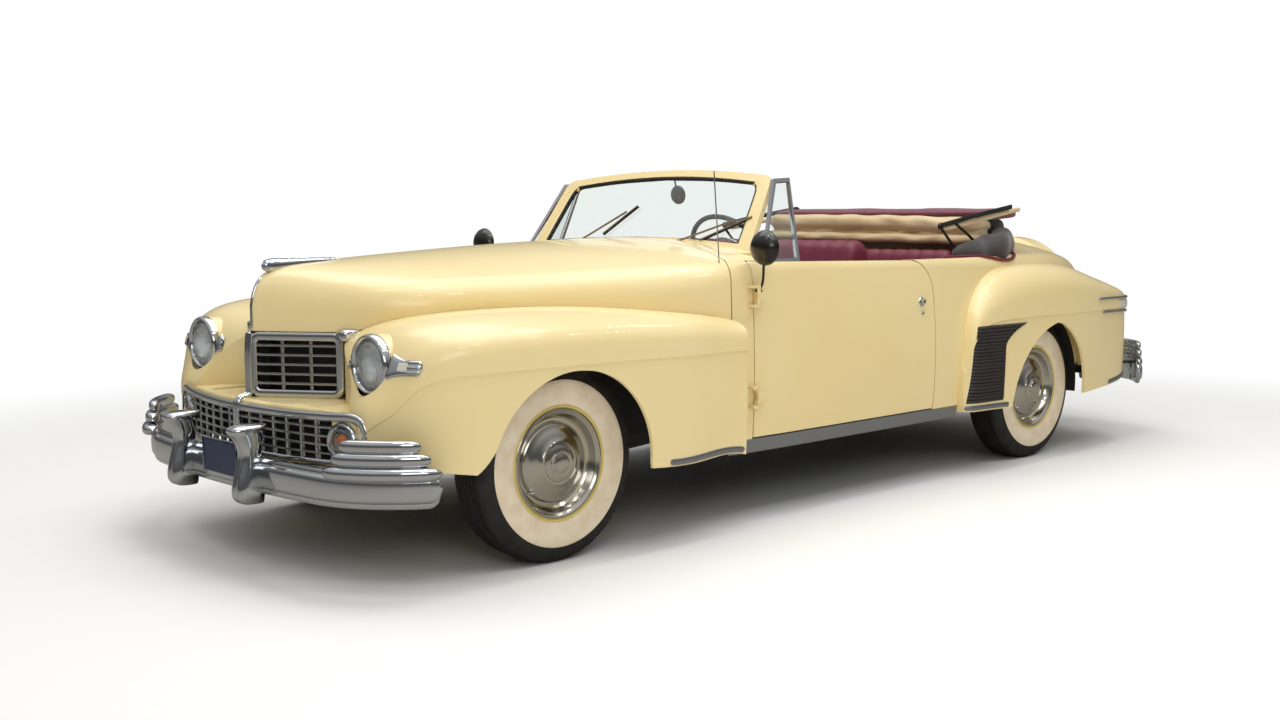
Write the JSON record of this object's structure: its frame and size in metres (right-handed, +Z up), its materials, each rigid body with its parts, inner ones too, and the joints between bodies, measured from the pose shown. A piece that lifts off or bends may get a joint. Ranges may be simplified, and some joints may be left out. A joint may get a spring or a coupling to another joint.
{
  "type": "classic convertible car",
  "caption": "Long open four-seat touring car with rounded fenders, egg-crate grille, folded cloth top, opening doors, hood and trunk, steering and rolling wheels.",
  "frame": {"origin": "on the ground on the centre line, at half the overall length", "axes": "+X forward, +Y to the car's left, +Z up"},
  "size_m": [5.5401, 1.9754, 1.4608],
  "materials": {
    "frame_black": "satin chassis black",
    "axle_steel": "dark forged steel",
    "engine_paint": "satin engine enamel",
    "dull_steel": "dull aluminised steel",
    "body_paint": "gloss cream yellow enamel",
    "under_paint": "satin underbody black",
    "chrome": "bright chrome plate",
    "lamp_glass": "fluted clear glass",
    "red_glass": "red glass",
    "window_glass": "clear laminated glass",
    "tyre": "black tread with broad cream side walls",
    "shield_rubber": "black ribbed rubber",
    "seat_leather": "maroon leather",
    "dash_paint": "gloss maroon enamel",
    "wheel_plastic": "ivory hard plastic",
    "top_cloth": "black canvas with tan lining",
    "blade_rubber": "wiper rubber and steel"
  },
  "bodies": {
    "root": {"chassis_frame": "frame_black", "front_axle": "axle_steel", "rear_axle": "axle_steel", "powertrain": "engine_paint", "exhaust": "dull_steel", "fuel_tank": "under_paint", "radiator": "under_paint", "floor_pan": "under_paint", "inner_wings": "under_paint", "cowl": "body_paint", "rear_body": "body_paint", "sills": "chrome", "front_fenders": "body_paint", "rear_fenders": "body_paint", "gravel_shields": "shield_rubber", "front_apron": "body_paint", "upper_grille": "chrome", "lower_grille": "chrome", "headlight_bezels": "chrome", "lamp_lenses": "lamp_glass", "tail_lamps": "red_glass", "front_bumper": "chrome", "rear_bumper": "chrome", "spare_cover": "body_paint", "windshield_frame": "body_paint", "windshield_glass": "window_glass", "wipers": "blade_rubber", "dashboard": "dash_paint", "steering_column": "dash_paint", "front_seat": "seat_leather", "rear_seat": "seat_leather", "folded_top": "top_cloth", "top_bows": "frame_black"},
    "hood": {"hood": "body_paint", "hood_ornament": "chrome"},
    "trunk_lid": {"trunk_lid": "body_paint"},
    "door_left": {"door_left": "body_paint", "vent_frame_left": "chrome", "vent_glass_left": "window_glass", "mirror_left": "chrome"},
    "door_right": {"door_right": "body_paint", "vent_frame_right": "chrome", "vent_glass_right": "window_glass", "mirror_right": "chrome"},
    "knuckle_left": {"knuckle_left": "axle_steel"},
    "knuckle_right": {"knuckle_right": "axle_steel"},
    "tie_rod": {"tie_rod": "axle_steel"},
    "steering_wheel": {"steering_wheel": "wheel_plastic"},
    "wheel_front_left": {"tyre_front_left": "tyre", "wheel_front_left": "body_paint", "wheel_trim_front_left": "chrome"},
    "wheel_front_right": {"tyre_front_right": "tyre", "wheel_front_right": "body_paint", "wheel_trim_front_right": "chrome"},
    "wheel_rear_left": {"tyre_rear_left": "tyre", "wheel_rear_left": "body_paint", "wheel_trim_rear_left": "chrome"},
    "wheel_rear_right": {"tyre_rear_right": "tyre", "wheel_rear_right": "body_paint", "wheel_trim_rear_right": "chrome"}
  },
  "joints": [
    {"name": "hood_open", "type": "hinge", "parent": "root", "child": "hood", "pos_m": [0.698, 0, 1.172], "axis": [0, -1, 0], "range_deg": [0, 55]},
    {"name": "trunk_open", "type": "hinge", "parent": "root", "child": "trunk_lid", "pos_m": [-1.792, 0, 1.14], "axis": [0, 1, 0], "range_deg": [0, 60]},
    {"name": "door_left_open", "type": "hinge", "parent": "root", "child": "door_left", "pos_m": [0.76, 0.902, 0.7], "axis": [0, 0, -1], "range_deg": [0, 65]},
    {"name": "door_right_open", "type": "hinge", "parent": "root", "child": "door_right", "pos_m": [0.76, -0.902, 0.7], "axis": [0, 0, 1], "range_deg": [0, 65]},
    {"name": "steer_left", "type": "hinge", "parent": "root", "child": "knuckle_left", "pos_m": [1.76, 0.6635, 0.366], "axis": [0, 0, 1], "range_deg": [-30, 30]},
    {"name": "steer_right", "type": "hinge", "parent": "root", "child": "knuckle_right", "pos_m": [1.76, -0.6635, 0.366], "axis": [0, 0, 1], "range_deg": [-30, 30]},
    {"name": "tie_rod_turn", "type": "hinge", "parent": "knuckle_left", "child": "tie_rod", "pos_m": [1.62, 0.6635, 0.3], "axis": [0, 0, 1], "range_deg": [-30, 30]},
    {"name": "steering_wheel_turn", "type": "hinge", "parent": "root", "child": "steering_wheel", "pos_m": [0.346, 0.38, 1.052], "axis": [-0.866, 0, 0.5], "range_deg": [-480, 480]},
    {"name": "spin_front_left", "type": "hinge", "parent": "knuckle_left", "child": "wheel_front_left", "pos_m": [1.76, 0.7495, 0.366], "axis": [0, 1, 0], "continuous": true},
    {"name": "spin_front_right", "type": "hinge", "parent": "knuckle_right", "child": "wheel_front_right", "pos_m": [1.76, -0.7495, 0.366], "axis": [0, 1, 0], "continuous": true},
    {"name": "spin_rear_left", "type": "hinge", "parent": "root", "child": "wheel_rear_left", "pos_m": [-1.415, 0.77, 0.366], "axis": [0, 1, 0], "continuous": true},
    {"name": "spin_rear_right", "type": "hinge", "parent": "root", "child": "wheel_rear_right", "pos_m": [-1.415, -0.77, 0.366], "axis": [0, 1, 0], "continuous": true}
  ],
  "couplings": [
    {"joint": "steer_right", "follows": "steer_left", "ratio": 1},
    {"joint": "tie_rod_turn", "follows": "steer_left", "ratio": -1},
    {"joint": "steering_wheel_turn", "follows": "steer_left", "ratio": 16}
  ]
}
